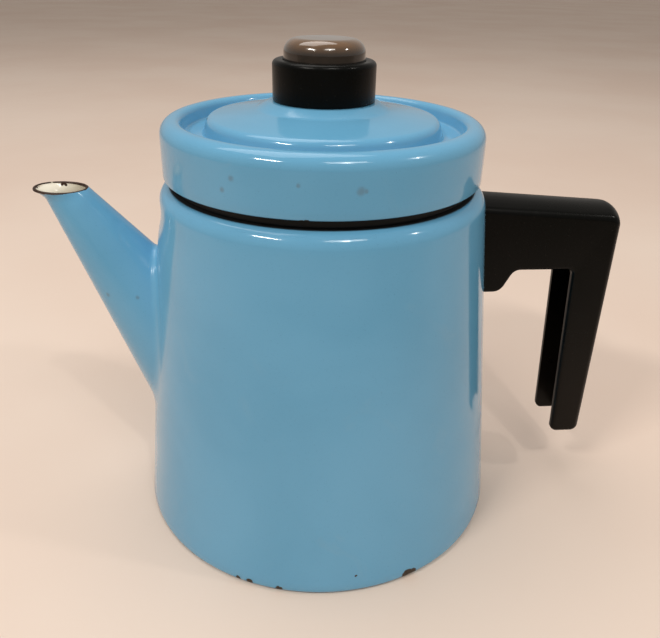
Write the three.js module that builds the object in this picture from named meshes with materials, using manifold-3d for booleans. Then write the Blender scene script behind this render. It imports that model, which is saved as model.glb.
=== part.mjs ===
// Enamelled stovetop coffee percolator, in millimetres, +Z up.
// The origin is the centre of the flat base. The handle points to +X and the spout to -X.
import * as THREE from 'three';
import { mergeVertices } from 'three/addons/utils/BufferGeometryUtils.js';
import Module from 'manifold-3d';

const wasm = await Module();
wasm.setup();

// Driving dimensions
const GAP = 0.3;                 // clearance kept wherever two pieces touch
const SIDES = 36;                // facets round the pot and its lid
const INNER = 24;                // facets round the pieces inside the pot
const FINE = 16;                 // facets round a small turned piece
const ARC_STEPS = 2;             // straight steps in each rounded corner

const POT = { baseRadius: 75, slope: 0.105, wall: 1.4, shoulderTop: 137.2, neckRadius: 54.6, neckTop: 157 };
const BASE = { seam: 2.7, thickness: 1.4 };
const SPOUT = { tipX: -96.3, tipZ: 134.1, tipRadius: 7, lean: 31.6, taper: 11.3, wall: 1.2, port: 14 };
const LIP = { x: -96.9, z: 133.7, halfLength: 8.75, halfWidth: 7.3, radius: 0.75 };
const LID = { wall: 1.2, skirtRadius: 58.6, skirtBottom: 140.5, rimTop: 160.3, bossTop: 165.9, hole: 11 };
const KNOB = { radius: 18.35, top: 179.8, bevel: 1.5, socket: 14.8, ledge: 170.5, spigot: 10.5, bore: 8, foot: 157.5 };
const DOME = { radius: 14.4, wall: 2, top: 186.8, rounding: 4.8, bottom: 172.1 };
const GRIP = { width: 23, wall: 3, web: 3, crown: 3, edge: 2.3, corner: 4 };
const BEAM = { start: 54, top: 128.9, cornerTop: 124.45, cornerX: 115.25, under: 102.9, root: 93.5 };
const LEG = { outer: 116.2, innerHigh: 100.2, innerLow: 104.5, foot: 23.4 };
const STRAP = { width: 14, thickness: 2.3, bottom: 113.7, end: 94, plateLow: 97, plateHigh: 121 };
const SCREW = { stations: [74.5, 87.5], shank: 1.75, head: 3.6, headHeight: 2.5, hole: 2.2 };
const STEM = { outer: 4, inner: 3.2, bottom: 19, top: 176.5, stop: 97 };
const BELL = { wall: 1, footRadius: 30, chamber: 10, foot: 1.7 };
const BASKET = { wall: 0.8, floor: 98.3, floorRadius: 41, rimRadius: 48, rim: 146.9 };

const ENAMEL = { color: 0x6796b4, roughness: 0.22, metalness: 0 };
const BLACK_PLASTIC = { color: 0x14140f, roughness: 0.35, metalness: 0 };
const AMBER_GLASS = { color: 0x7a5636, roughness: 0.12, metalness: 0 };
const ALUMINIUM = { color: 0xb9bcbe, roughness: 0.4, metalness: 1 };
const STEEL = { color: 0xa6a8aa, roughness: 0.35, metalness: 1 };
const RUBBER = { color: 0x2a2724, roughness: 0.8, metalness: 0 };

const potRadius = (z) => POT.baseRadius - POT.slope * z;

// A path through corners [x, y, radius], with each corner that has a radius rounded by an arc.
function rounded(corners) {
  const path = [];
  corners.forEach(([x, y, radius = 0], i) => {
    const corner = new THREE.Vector2(x, y);
    if (radius === 0) {
      path.push(corner);
      return;
    }
    const before = new THREE.Vector2(...corners[i - 1]).sub(corner).normalize();
    const after = new THREE.Vector2(...corners[i + 1]).sub(corner).normalize();
    const half = Math.acos(before.dot(after)) / 2;
    const centre = before.clone().add(after).normalize().multiplyScalar(radius / Math.sin(half)).add(corner);
    const start = before.clone().multiplyScalar(radius / Math.tan(half)).add(corner).sub(centre).angle();
    const end = after.clone().multiplyScalar(radius / Math.tan(half)).add(corner).sub(centre).angle();
    const sweep = Math.atan2(Math.sin(end - start), Math.cos(end - start));
    for (let k = 0; k <= ARC_STEPS; k++) {
      const angle = start + (sweep * k) / ARC_STEPS;
      path.push(new THREE.Vector2(centre.x + radius * Math.cos(angle), centre.y + radius * Math.sin(angle)));
    }
  });
  return path;
}

// The closed outline of sheet metal whose middle follows a path.
function sheet(path, thickness) {
  const side = (sign) => path.map((point, i) => {
    const from = path[Math.max(i - 1, 0)];
    const to = path[Math.min(i + 1, path.length - 1)];
    const into = i > 0 ? point.clone().sub(from).normalize() : to.clone().sub(point).normalize();
    const out = i < path.length - 1 ? to.clone().sub(point).normalize() : into;
    const normal = new THREE.Vector2(into.y + out.y, -into.x - out.x).normalize();
    const stretch = normal.dot(new THREE.Vector2(into.y, -into.x));
    return normal.multiplyScalar((sign * thickness) / 2 / stretch).add(point);
  });
  return [...side(1), ...side(-1).reverse()];
}

// A turned piece about +Z from a closed outline of (radius, height) points.
function turned(outline, sides = SIDES) {
  const points = THREE.ShapeUtils.area(outline) < 0 ? [...outline].reverse() : [...outline];
  const onAxis = points.findIndex((point) => point.x === 0);
  if (onAxis < 0) {
    points.push(points[0].clone());
  } else if (points[(onAxis + 1) % points.length].x === 0) {
    points.push(...points.splice(0, onAxis + 1));
  }
  return new THREE.LatheGeometry(points, sides).rotateX(Math.PI / 2);
}

function ring(inner, outer, low, high, sides = FINE) {
  return turned(rounded([[inner, low], [outer, low], [outer, high], [inner, high]]), sides);
}

function rod(radius, low, high, sides = FINE) {
  return new THREE.CylinderGeometry(radius, radius, high - low, sides)
    .rotateX(Math.PI / 2).translate(0, 0, (low + high) / 2);
}

// A slab whose outline lies in the XZ plane, with its width centred on Y = 0.
function slab(corners, width, bevel = 0, steps = 1) {
  const options = { depth: width - 2 * bevel, steps, bevelEnabled: bevel > 0, curveSegments: 1 };
  Object.assign(options, { bevelSize: bevel, bevelThickness: bevel, bevelOffset: -bevel, bevelSegments: 2 });
  return new THREE.ExtrudeGeometry(new THREE.Shape(rounded(corners)), options)
    .rotateX(Math.PI / 2).translate(0, width / 2 - bevel, 0);
}

// Swells a slab's top and its outer end outward, most at mid width and not at all at its sides.
function crowned(geometry) {
  const place = geometry.getAttribute('position');
  for (let i = 0; i < place.count; i++) {
    const swell = GRIP.crown * (1 - (place.getY(i) / (GRIP.width / 2)) ** 2);
    const outward = (place.getX(i) - BEAM.cornerX) / GRIP.corner + 1;
    const upward = (place.getZ(i) - BEAM.cornerTop) / GRIP.corner + 1;
    place.setX(i, place.getX(i) + swell * THREE.MathUtils.clamp(outward, 0, 1));
    place.setZ(i, place.getZ(i) + swell * THREE.MathUtils.clamp(upward, 0, 1));
  }
  return geometry;
}

function solid(geometry) {
  const bare = geometry.clone();
  bare.deleteAttribute('normal');
  bare.deleteAttribute('uv');
  const merged = mergeVertices(bare, 1e-4);
  const index = merged.getIndex().array;
  const triVerts = [];
  for (let i = 0; i < index.length; i += 3) {
    const [a, b, c] = index.slice(i, i + 3);
    if (a !== b && b !== c && c !== a) triVerts.push(a, b, c);
  }
  const mesh = { numProp: 3, vertProperties: merged.getAttribute('position').array };
  return new wasm.Manifold(new wasm.Mesh({ ...mesh, triVerts: new Uint32Array(triVerts) }));
}

function geometryOf(manifold) {
  const mesh = manifold.getMesh();
  const geometry = new THREE.BufferGeometry();
  geometry.setAttribute('position', new THREE.BufferAttribute(mesh.vertProperties, 3));
  geometry.setIndex(new THREE.BufferAttribute(mesh.triVerts, 1));
  geometry.computeVertexNormals();
  return geometry;
}

function cut(geometry, ...tools) {
  return geometryOf(tools.reduce((rest, tool) => rest.subtract(solid(tool)), solid(geometry)));
}

function join(geometry, ...others) {
  return geometryOf(others.reduce((sum, other) => sum.add(solid(other)), solid(geometry)));
}

// Everything inside the pot's outer surface, grown outward by a clearance.
function potBlank(clearance) {
  const low = -10;
  const high = 150;
  const outline = [[0, low], [potRadius(low) + clearance, low], [potRadius(high) + clearance, high], [0, high]];
  return turned(rounded(outline));
}

// Upright holes in rings about the axis: each ring is [radius, count].
function holesInRings(rings, holeRadius, low, high) {
  return rings.flatMap(([radius, count]) => Array.from({ length: count }, (_, i) => {
    const angle = (2 * Math.PI * (i + 0.5)) / count;
    return rod(holeRadius, low, high, 6).translate(radius * Math.cos(angle), radius * Math.sin(angle), 0);
  }));
}

// Moves a piece made along +Z, with its origin at the spout's apex, onto the spout's leaning axis.
function alongSpout(geometry) {
  const lean = THREE.MathUtils.degToRad(SPOUT.lean);
  const reach = SPOUT.tipRadius / Math.tan(THREE.MathUtils.degToRad(SPOUT.taper));
  const apexX = SPOUT.tipX - reach * Math.sin(lean);
  return geometry.rotateY(-lean).translate(apexX, 0, SPOUT.tipZ + reach * Math.cos(lean));
}

function makeBodyShell() {
  const half = POT.wall / 2;
  const shoulder = POT.shoulderTop - half;
  const path = rounded([
    [potRadius(BASE.seam) - half, BASE.seam + GAP],
    [potRadius(shoulder) - half, shoulder, 5.3],
    [POT.neckRadius - half, shoulder, 1.2],
    [POT.neckRadius - half, POT.neckTop],
  ]);
  const port = alongSpout(rod(SPOUT.port, -112, -70));
  return cut(turned(sheet(path, POT.wall)), port);
}

function makeBasePlate() {
  const edge = potRadius(BASE.seam);
  return turned(rounded([
    [0, 0],
    [edge, 0, 2.4],
    [edge, BASE.seam],
    [edge - POT.wall, BASE.seam],
    [edge - POT.wall, BASE.thickness, 1],
    [0, BASE.thickness],
  ]));
}

function makeSpout() {
  const flare = Math.tan(THREE.MathUtils.degToRad(SPOUT.taper));
  const near = 30;
  const far = 125;
  const outline = [
    [near * flare, -near], [far * flare, -far],
    [far * flare - SPOUT.wall, -far], [near * flare - SPOUT.wall, -near],
  ];
  const cone = alongSpout(turned(rounded(outline)));
  const above = new THREE.BoxGeometry(60, 60, 40).translate(SPOUT.tipX, 0, SPOUT.tipZ + 20);
  const lip = new THREE.TorusGeometry(LIP.halfWidth, LIP.radius, 6, INNER)
    .scale(LIP.halfLength / LIP.halfWidth, 1, 1).translate(LIP.x, 0, LIP.z);
  return join(cut(cone, above, potBlank(GAP)), lip);
}

function makeLidShell() {
  const half = LID.wall / 2;
  const skirt = LID.skirtRadius - half;
  const path = rounded([
    [skirt, LID.skirtBottom],
    [skirt, LID.rimTop - half, 4.3],
    [51.8, LID.rimTop - half, 1.9],
    [50.8, 154.2, 1.4],
    [43, 154.2, 1.4],
    [41.4, 160, 2.6],
    [24, 162.9, 6],
    [19.6, LID.bossTop - half, 1.5],
    [LID.hole, LID.bossTop - half],
  ]);
  return turned(sheet(path, LID.wall));
}

function makeKnobCollar() {
  const bottom = LID.bossTop + GAP;
  return turned(rounded([
    [KNOB.bore, KNOB.foot], [KNOB.spigot, KNOB.foot], [KNOB.spigot, bottom], [KNOB.radius, bottom],
    [KNOB.radius, KNOB.top, KNOB.bevel], [KNOB.socket, KNOB.top], [KNOB.socket, KNOB.ledge],
    [KNOB.bore, KNOB.ledge],
  ]), INNER);
}

function makeSightDome() {
  const ceiling = DOME.top - DOME.wall;
  const bore = DOME.radius - DOME.wall;
  return turned(rounded([
    [0, ceiling], [bore, ceiling, DOME.rounding - DOME.wall], [bore, DOME.bottom], [DOME.radius, DOME.bottom],
    [DOME.radius, DOME.top, DOME.rounding], [0, DOME.top],
  ]), INNER);
}

function makeKnobNut() {
  const high = LID.bossTop - LID.wall - 1.6;
  const bore = rod(KNOB.spigot + GAP, high - 10, high + 10);
  return cut(rod(16, high - 4.2, high, 6), bore);
}

function makeGrip() {
  const { width, wall, web, edge, corner } = GRIP;
  const { start, top, cornerTop, cornerX, under, root } = BEAM;
  const { outer, innerHigh, innerLow, foot } = LEG;
  const outline = crowned(slab([
    [start, top], [cornerX, cornerTop, corner], [outer, foot, 2.6], [innerLow, foot, 2.6],
    [innerHigh, under, 2.5], [76.2, under, 4], [71.4, root, 5], [start, root],
  ], width, edge, 6));
  const inside = slab([
    [start - 14, top + 1 - web], [cornerX - web, cornerTop - web, 4], [outer - web, foot - 13], [start - 14, foot - 13],
  ], width - 2 * wall);
  const boss = (x) => rod(4.2, STRAP.bottom + STRAP.thickness + GAP, top - web + 1).translate(x, 0, 0);
  const pilot = (x) => rod(SCREW.shank + GAP, 100, STRAP.bottom + 10).translate(x, 0, 0);
  const shell = join(cut(outline, inside), ...SCREW.stations.map(boss));
  return cut(shell, ...SCREW.stations.map(pilot), potBlank(GAP));
}

function makeBracket() {
  const { width, thickness, bottom, end, plateLow, plateHigh } = STRAP;
  const face = (z) => potRadius(z) + GAP + thickness;
  const top = bottom + thickness;
  const strap = slab([
    [55, plateLow], [face(plateLow), plateLow], [face(bottom), bottom], [end, bottom],
    [end, top], [face(top), top], [face(plateHigh), plateHigh], [55, plateHigh],
  ], width);
  const holes = SCREW.stations.map((x) => rod(SCREW.hole, 100, 130).translate(x, 0, 0));
  return cut(strap, potBlank(GAP), ...holes);
}

function makeScrew() {
  const seat = STRAP.bottom - 2 * GAP - 1;
  const tip = STRAP.bottom + 8.5;
  const low = seat - SCREW.headHeight;
  const shape = turned(rounded([
    [0, low], [SCREW.head, low, 1], [SCREW.head, seat], [SCREW.shank, seat], [SCREW.shank, tip], [0, tip],
  ]), 12);
  return cut(shape, new THREE.BoxGeometry(0.9, 6, 2).translate(0, 0, low));
}

function makeWasher() {
  const high = STRAP.bottom - GAP;
  return ring(SCREW.shank + GAP, 5, high - 1, high, 12);
}

function makePumpBase() {
  const half = BELL.wall / 2;
  const path = rounded([
    [BELL.footRadius, BELL.foot + half],
    [27.5, BELL.foot + half, 1],
    [BELL.chamber, 14, 3],
    [BELL.chamber, 21, 2],
    [STEM.outer + 0.9, 22.5, 0.8],
    [STEM.outer + 0.9, 31],
  ]);
  const inlets = [45, 135, 225, 315].map((angle) => rod(2.5, 0, 15, 10)
    .rotateZ(THREE.MathUtils.degToRad(angle))
    .translate(20 * Math.cos(THREE.MathUtils.degToRad(angle)), 20 * Math.sin(THREE.MathUtils.degToRad(angle)), 0));
  return cut(turned(sheet(path, BELL.wall), INNER), ...inlets);
}

function makeBasket() {
  const half = BASKET.wall / 2;
  const path = rounded([
    [6.4, BASKET.floor + half],
    [BASKET.floorRadius, BASKET.floor + half, 3],
    [45.5, BASKET.rim - half, 1],
    [BASKET.rimRadius, BASKET.rim - half],
  ]);
  const rings = [[15, 8], [25, 12], [35, 16]];
  return cut(turned(sheet(path, BASKET.wall), INNER), ...holesInRings(rings, 1.2, 90, 110));
}

function makeSleeve() {
  const low = STEM.stop + GAP;
  return turned(rounded([
    [4.6, low], [9, low], [9, low + 0.7], [5.9, low + 0.7], [5.9, BASKET.rim + 5.5], [4.6, BASKET.rim + 5.5],
  ]), FINE);
}

function makeSpreader() {
  const middle = BASKET.rim + GAP + BASKET.wall / 2;
  const path = rounded([
    [6.7, middle + 1.8], [13, middle + 1.8, 1], [16, middle, 1], [47.4, middle, 0.8], [47.4, middle + 3],
  ]);
  const rings = [[24, 10], [36, 14]];
  return cut(turned(sheet(path, BASKET.wall), INNER), ...holesInRings(rings, 1.2, middle - 5, middle + 5));
}

const percolator = new THREE.Group();

function add(name, geometry, finish, x = 0) {
  const mesh = new THREE.Mesh(geometry, new THREE.MeshStandardMaterial(finish));
  mesh.name = name;
  mesh.position.x = x;
  percolator.add(mesh);
}

// The pot with its spout and handle
add('body_shell', makeBodyShell(), ENAMEL);
add('base_plate', makeBasePlate(), ENAMEL);
add('spout', makeSpout(), ENAMEL);
add('handle_bracket', makeBracket(), STEEL);
add('handle_grip', makeGrip(), BLACK_PLASTIC);
['inner', 'outer'].forEach((place, i) => {
  add(`handle_screw_${place}`, makeScrew(), STEEL, SCREW.stations[i]);
  add(`handle_washer_${place}`, makeWasher(), STEEL, SCREW.stations[i]);
});

// The lid with its knob
const sealTop = LID.bossTop - LID.wall - GAP;
add('lid_shell', makeLidShell(), ENAMEL);
add('knob_collar', makeKnobCollar(), BLACK_PLASTIC);
add('knob_seal', ring(KNOB.spigot + GAP, 16, sealTop - 1, sealTop), RUBBER);
add('knob_nut', makeKnobNut(), ALUMINIUM);
add('dome_seal', ring(10.5, DOME.radius, KNOB.ledge + GAP, KNOB.ledge + 1.3), RUBBER);
add('sight_dome', makeSightDome(), AMBER_GLASS);

// The pump that stands on the floor of the pot
add('pump_base', makePumpBase(), ALUMINIUM);
add('pump_tube', ring(STEM.inner, STEM.outer, STEM.bottom, STEM.top), ALUMINIUM);
add('basket_stop', ring(STEM.outer + GAP, 8, STEM.stop - 3, STEM.stop), ALUMINIUM);
add('valve_plate', ring(2.5, BELL.chamber - BELL.wall / 2 - GAP, 14.5, 15.3), ALUMINIUM);
add('valve_disc', rod(6.5, 15.6, 16.4), STEEL);

// The coffee basket and its cover
add('coffee_basket', makeBasket(), ALUMINIUM);
add('basket_sleeve', makeSleeve(), ALUMINIUM);
add('basket_spreader', makeSpreader(), ALUMINIUM);

export default percolator;
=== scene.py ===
import math

import bmesh
import bpy
from mathutils import Matrix, Vector


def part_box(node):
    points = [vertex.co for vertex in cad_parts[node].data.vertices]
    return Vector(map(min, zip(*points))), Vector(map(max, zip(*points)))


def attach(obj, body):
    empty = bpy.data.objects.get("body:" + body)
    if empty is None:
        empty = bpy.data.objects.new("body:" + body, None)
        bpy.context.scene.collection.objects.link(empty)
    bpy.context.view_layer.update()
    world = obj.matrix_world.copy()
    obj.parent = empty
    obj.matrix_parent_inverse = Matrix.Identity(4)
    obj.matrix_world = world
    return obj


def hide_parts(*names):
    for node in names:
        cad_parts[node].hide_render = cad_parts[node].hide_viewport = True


# An enamelled stovetop coffee percolator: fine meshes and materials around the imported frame.
# Lengths in this script are millimetres in the frame's axes, and metre() turns them into metres. The depths
# of bumps, the camera's near limit, and the lamps' distances and sizes are in metres already.

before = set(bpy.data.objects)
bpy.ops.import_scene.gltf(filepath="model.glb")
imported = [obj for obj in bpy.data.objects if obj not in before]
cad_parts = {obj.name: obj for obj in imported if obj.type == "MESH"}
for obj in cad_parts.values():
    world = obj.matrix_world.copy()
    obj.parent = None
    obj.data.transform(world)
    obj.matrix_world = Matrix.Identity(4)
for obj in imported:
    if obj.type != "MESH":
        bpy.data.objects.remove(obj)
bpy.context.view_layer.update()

# ---------------------------------------------------------------- sizes
ROUND = 160                 # facets round a large turned piece
SPOUT_ROUND = 128           # facets round the spout
BASKET_ROUND = 96           # facets round the basket and its cover
SMALL_ROUND = 64            # facets round a small turned piece
ARC_STEPS = 10              # steps in each rounded corner
EDGE_STEPS = 8              # steps in the grip's rounded long edges
CAP_STEPS = 6               # steps in the rounded edge of a metal sheet
SHARP = math.radians(38)    # edges that turn more than this stay crisp
OVERSHOOT = 5.0             # how far a cutting tool runs past what it cuts
THREAD_GAP = 0.3            # between a thread and what goes over it

# The pot's wall leans in by slope for each millimetre up, and a bend is the radius of a rounded corner.
POT = {"base_radius": 75.0, "slope": 0.105, "wall": 1.4, "shoulder": 137.2, "shoulder_bend": 5.3,
       "neck_radius": 54.6, "neck_top": 157.0, "neck_bend": 1.2}
# Where the wall is drawn in: angle is in degrees from the spout, and spread and fan are its reach up and
# round.
DRAWN_IN = {"depth": 1.1, "height": 126.5, "spread": 6.5, "angle": 6, "fan": 17}
# Between these distances from the axis, on the shoulder, the blue gives way to the near-black neck: painted
# shade for the dark gap under the lid's skirt.
NECK_SHADE_LINE = {"outer": 57.3, "inner": 56.5}
BASE_EDGE = 2.7
BASE_ROUNDING = 2.4
# A cone: lean is its slant from upright and taper its half angle, in degrees. Its foot is sunk in the wall.
SPOUT = {"tip_x": -96.3, "tip_z": 134.1, "tip_radius": 7.0, "lean": 31.6, "taper": 11.3, "wall": 1.2,
         "port": 14.0, "port_low": 70, "port_high": 112, "fillet": 4.5, "sunk": 0.12, "through": 0.6,
         "flare_length": 4.0}
LID = {"wall": 1.2, "skirt_radius": 58.6, "skirt_bottom": 140.5, "rim_top": 160.3, "rim_bend": 4.3,
       "rim_inner": 51.8, "groove_outer": 50.8, "groove": 154.2, "groove_inner": 43.0, "disc_radius": 41.4,
       "disc_low": 160.0, "boss_foot": 24.0, "disc_high": 162.9, "boss_radius": 19.6, "boss_top": 165.9,
       "hole": 11.0}
KNOB = {"radius": 18.35, "top": 179.8, "bevel": 1.7, "socket": 14.6, "ledge": 170.5, "spigot": 10.5,
        "bore": 8.0, "foot": 157.5}
NUT_CORNER = 16.0
# The glass is dark at the bottom and grows lighter from the last height given here over it: painted shade
# low down and a painted reflection of the room higher up, on the coffee brown.
DOME = {"radius": 14.4, "wall": 2.0, "top": 186.8, "rounding": 4.8, "bottom": 172.1, "seal_bore": 10.5,
        "lit_above": 9.5}
GRIP = {"width": 23.0, "wall": 3.0, "web": 3.0, "crown": 3.0, "edge": 1.7, "corner": 4.0, "moulding": 0.5}
BEAM = {"start": 54.0, "top": 128.9, "corner_top": 124.45, "corner_x": 115.25, "under": 102.9,
        "pad_end": 76.2, "pad": 71.4, "root": 93.5}
# The leg's inner side runs from inner_high under the beam to inner_low at its foot.
LEG = {"outer": 116.2, "inner_high": 100.2, "inner_low": 104.5, "foot": 23.4, "foot_rounding": 2.9}
SCREW = {"seat": 112.1, "tip": 122.2, "shank": 1.75, "head": 3.6, "head_height": 2.5, "recess": 1.0,
         "recess_depth": 0.9}
WASHER = {"radius": 5.0, "gap": 0.3, "thickness": 1.0}
STEM = {"outer": 4.0, "inner": 3.2, "bottom": 19.0, "top": 176.5, "stop": 97.0, "stop_radius": 8.0,
        "stop_height": 3.0}
BELL = {"wall": 1.0, "foot_radius": 30.0, "foot_inner": 27.5, "foot": 1.7, "chamber": 10.0,
        "chamber_low": 14.0, "chamber_top": 21.0, "collar_low": 22.5, "collar_top": 31.0, "collar_gap": 0.9}
# Each ring of holes is (radius, count).
INLETS = {"rings": [(20, 4)], "radius": 2.5, "low": 0, "high": 15}
VALVE = {"hole": 2.5, "plate": 9.2, "plate_low": 14.5, "plate_high": 15.3, "disc": 6.5, "disc_low": 15.6,
         "disc_high": 16.4}
BASKET = {"wall": 0.8, "floor": 98.3, "bore": 6.4, "floor_radius": 41.0, "mouth": 45.5, "rim_radius": 48.0,
          "rim": 146.9, "rings": [(15, 8), (25, 12), (35, 16)], "holes_low": 90, "holes_high": 110}
SLEEVE = {"bore": 4.6, "outer": 5.9, "flange": 9.0, "flange_height": 0.7, "above_rim": 5.5}
COVER = {"bore": 6.7, "raised_radius": 13.0, "raise": 1.8, "dish": 16.0, "edge": 47.4, "lip": 3.0,
         "rings": [(24, 10), (36, 14)]}
DRIP_HOLE = 1.2
STACK_GAP = 0.3             # between a loose piece of the percolator set and what it stands on

CAMERA = {"place": (-19.8, -252.2, 208.4), "heading": 5.39, "down": 27.35, "roll": 1.29, "lens": 37.1}
SENSOR = 36                 # the camera's frame width
FLOOR_REACH = 12000
# Painted shade: the paper is darker towards the front, for light falling off there.
SHADE_STARTS, SHADE_FULL = -100, -420    # the paper darkens a little between these, towards the front
LAMP_AIM = (0, 0, 100)
WARM_WHITE = (1.0, 0.96, 0.9)
LAMPS = {
    "left_lamp": {"azimuth": -50, "elevation": 47, "distance": 1.3, "size": (0.34, 0.06), "power": 5.6,
                  "colour": (1.0, 0.95, 0.88)},
    "front_lamp": {"azimuth": 16, "elevation": 52, "distance": 1.3, "size": (0.05, 0.05), "power": 1.6,
                   "colour": WARM_WHITE},
    "front_glow": {"azimuth": 16, "elevation": 54, "distance": 1.3, "size": (0.5, 0.2), "power": 2.6,
                   "colour": WARM_WHITE},
    "right_lamp": {"azimuth": 73, "elevation": 42, "distance": 1.3, "size": (0.07, 0.05), "power": 1.6,
                   "colour": WARM_WHITE},
    "overhead": {"azimuth": -150, "elevation": 70, "distance": 1.6, "size": (1.3, 1.0), "power": 10,
                 "colour": (1.0, 0.96, 0.92)},
}
ROOM_LIGHT = {"colour": (1.0, 0.93, 0.86, 1), "strength": 0.39}


def metre(value):
    return value * 0.001


def pot_radius(z):
    return POT["base_radius"] - POT["slope"] * z


def srgb(red, green, blue):
    """A linear colour from 0-255 display values."""
    def linear(value):
        value /= 255
        return value / 12.92 if value <= 0.04045 else ((value + 0.055) / 1.055) ** 2.4
    return (linear(red), linear(green), linear(blue), 1.0)


# ---------------------------------------------------------------- colours
BLUE = srgb(106, 169, 206)
BLUE_DEEP = srgb(98, 162, 199)
BLUE_SPECK = srgb(58, 104, 140)
PALE_DUST = srgb(176, 178, 172)
GREY_STAIN = srgb(96, 98, 98)
# Painted shade: the near black of the gap under the lid's skirt.
NECK_SHADE_BLACK = srgb(6, 8, 10)
CREAM = srgb(240, 234, 218)
CREAM_DEEP = srgb(222, 206, 176)
COFFEE_STAIN = srgb(168, 128, 84)
COFFEE_FILM = srgb(140, 118, 92)
GROUND_COAT = srgb(26, 32, 38)
CHIP_DARK = srgb(30, 25, 18)
CHIP_BROWN = srgb(74, 58, 42)
RIM_DARK = srgb(26, 12, 6)
RIM_BROWN = srgb(66, 40, 22)
RIM_SCRAP = srgb(176, 170, 152)
PLASTIC = srgb(1, 2, 1)
PLASTIC_FLOW = srgb(4, 4, 3)
# Painted reflection of the warm paper on the handle's lower part.
PLASTIC_FLOOR_SHEEN = srgb(26, 20, 15)
PLASTIC_DUST = srgb(110, 102, 92)
# The dome's painted shade low down and painted reflection of the room higher up.
GLASS_SHADED_LOW = srgb(18, 13, 8)
GLASS_LIT_HIGH = srgb(116, 86, 58)
GLASS_CLOUD = srgb(58, 44, 32)
ALUMINIUM = srgb(206, 207, 208)
ALUMINIUM_DULL = srgb(168, 170, 172)
STEEL = srgb(176, 176, 174)
STEEL_DULL = srgb(140, 140, 138)
RUBBER = srgb(34, 32, 30)
RUBBER_WORN = srgb(58, 54, 50)
PAPER = srgb(224, 204, 190)
PAPER_LIGHT = srgb(229, 212, 199)
PAPER_SHADE = srgb(180, 166, 153)


# ---------------------------------------------------------------- outlines
def fractions(count):
    """Even steps from just after 0 up to 1."""
    return [(k + 1) / count for k in range(count)]


def rounded(corners, steps=ARC_STEPS):
    """Points along a path through (x, y) or (x, y, radius) corners, with arcs at the radii."""
    path = []
    for i, corner in enumerate(corners):
        here = Vector(corner[:2])
        radius = corner[2] if len(corner) > 2 else 0
        if not radius:
            path.append(here)
            continue
        before = (Vector(corners[i - 1][:2]) - here).normalized()
        after = (Vector(corners[(i + 1) % len(corners)][:2]) - here).normalized()
        half = math.acos(max(-1, min(1, before.dot(after)))) / 2
        centre = here + (before + after).normalized() * (radius / math.sin(half))
        start = here + before * (radius / math.tan(half)) - centre
        end = here + after * (radius / math.tan(half)) - centre
        first = math.atan2(start.y, start.x)
        sweep = math.atan2(start.x * end.y - start.y * end.x, start.dot(end))
        for k in range(steps + 1):
            angle = first + sweep * k / steps
            path.append(centre + Vector((math.cos(angle), math.sin(angle))) * radius)
    return path


def divided(path, longest):
    """The same path with extra points, so that no stretch is longer than longest."""
    points = [path[0]]
    for start, end in zip(path, path[1:]):
        count = max(1, math.ceil((end - start).length / longest))
        points += [start.lerp(end, t) for t in fractions(count)]
    return points


def sheet(path, thickness):
    """Sheet metal about a middle path: its right face with the far edge, its left face and its near edge."""
    half = thickness / 2
    directions = []
    for i in range(len(path)):
        into = (path[i] - path[i - 1]).normalized() if i else (path[1] - path[0]).normalized()
        out = (path[i + 1] - path[i]).normalized() if i < len(path) - 1 else into
        directions.append((into + out).normalized())

    def side(sign):
        return [p + Vector((d.y, -d.x)) * half * sign for p, d in zip(path, directions)]

    def cap(point, direction, sign):
        across = Vector((direction.y, -direction.x))
        turns = [math.pi * (k + 1) / (CAP_STEPS + 1) for k in range(CAP_STEPS)]
        return [point + (across * math.cos(turn) + direction * math.sin(turn)) * half * sign
                for turn in turns]

    outer = side(1) + cap(path[-1], directions[-1], 1)
    return outer, side(-1)[::-1], cap(path[0], directions[0], -1)


# ---------------------------------------------------------------- meshes
def mesh_object(name, vertices, faces, materials, face_finish=None):
    """A new object from millimetre vertices; face_finish gives each face's place in materials."""
    mesh = bpy.data.meshes.new(name)
    mesh.from_pydata([[metre(c) for c in v] for v in vertices], [], faces)
    for material in materials:
        mesh.materials.append(material)
    if face_finish:
        mesh.polygons.foreach_set("material_index", face_finish)
    obj = bpy.data.objects.new(name, mesh)
    bpy.context.scene.collection.objects.link(obj)
    return obj


def smooth(obj):
    """Smooth shading with crisp edges where the surface really turns."""
    work = bmesh.new()
    work.from_mesh(obj.data)
    bmesh.ops.recalc_face_normals(work, faces=work.faces)
    for face in work.faces:
        face.smooth = True
    for edge in work.edges:
        edge.smooth = edge.is_manifold and edge.calc_face_angle(0) < SHARP
    work.to_mesh(obj.data)
    work.free()
    return obj


def turned(name, strips, materials, sides=ROUND):
    """A piece turned about the pot's axis; strips is a list of (points, material's place) that follow on."""
    outline = [(p, index) for points, index in strips for p in points]
    on_axis = [p.x < 1e-6 for p, _ in outline]
    starts = []
    vertices = []
    for (p, _), pole in zip(outline, on_axis):
        starts.append(len(vertices))
        for k in range(1 if pole else sides):
            angle = 2 * math.pi * k / sides
            vertices.append((p.x * math.cos(angle), p.x * math.sin(angle), p.y))
    faces = []
    face_finish = []
    for j in range(len(outline)):
        following = (j + 1) % len(outline)
        if on_axis[j] and on_axis[following]:
            continue
        for k in range(sides):
            low, high = starts[j], starts[following]
            ahead = (k + 1) % sides
            near = [low, low] if on_axis[j] else [low + k, low + ahead]
            far = [high, high] if on_axis[following] else [high + ahead, high + k]
            faces.append(list(dict.fromkeys(near + far)))
            face_finish.append(outline[j][1])
    return smooth(mesh_object(name, vertices, faces, materials, face_finish))


def rod_tool(radius, low, high, sides=48, x=0, y=0):
    """A plain round tool for cutting holes, along Z."""
    turns = [2 * math.pi * k / sides for k in range(sides)]
    vertices = [(x + radius * math.cos(turn), y + radius * math.sin(turn), z)
                for z in (low, high) for turn in turns]
    faces = [[k, (k + 1) % sides, sides + (k + 1) % sides, sides + k] for k in range(sides)]
    faces += [list(range(sides))[::-1], list(range(sides, 2 * sides))]
    return smooth(mesh_object("tool", vertices, faces, []))


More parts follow.
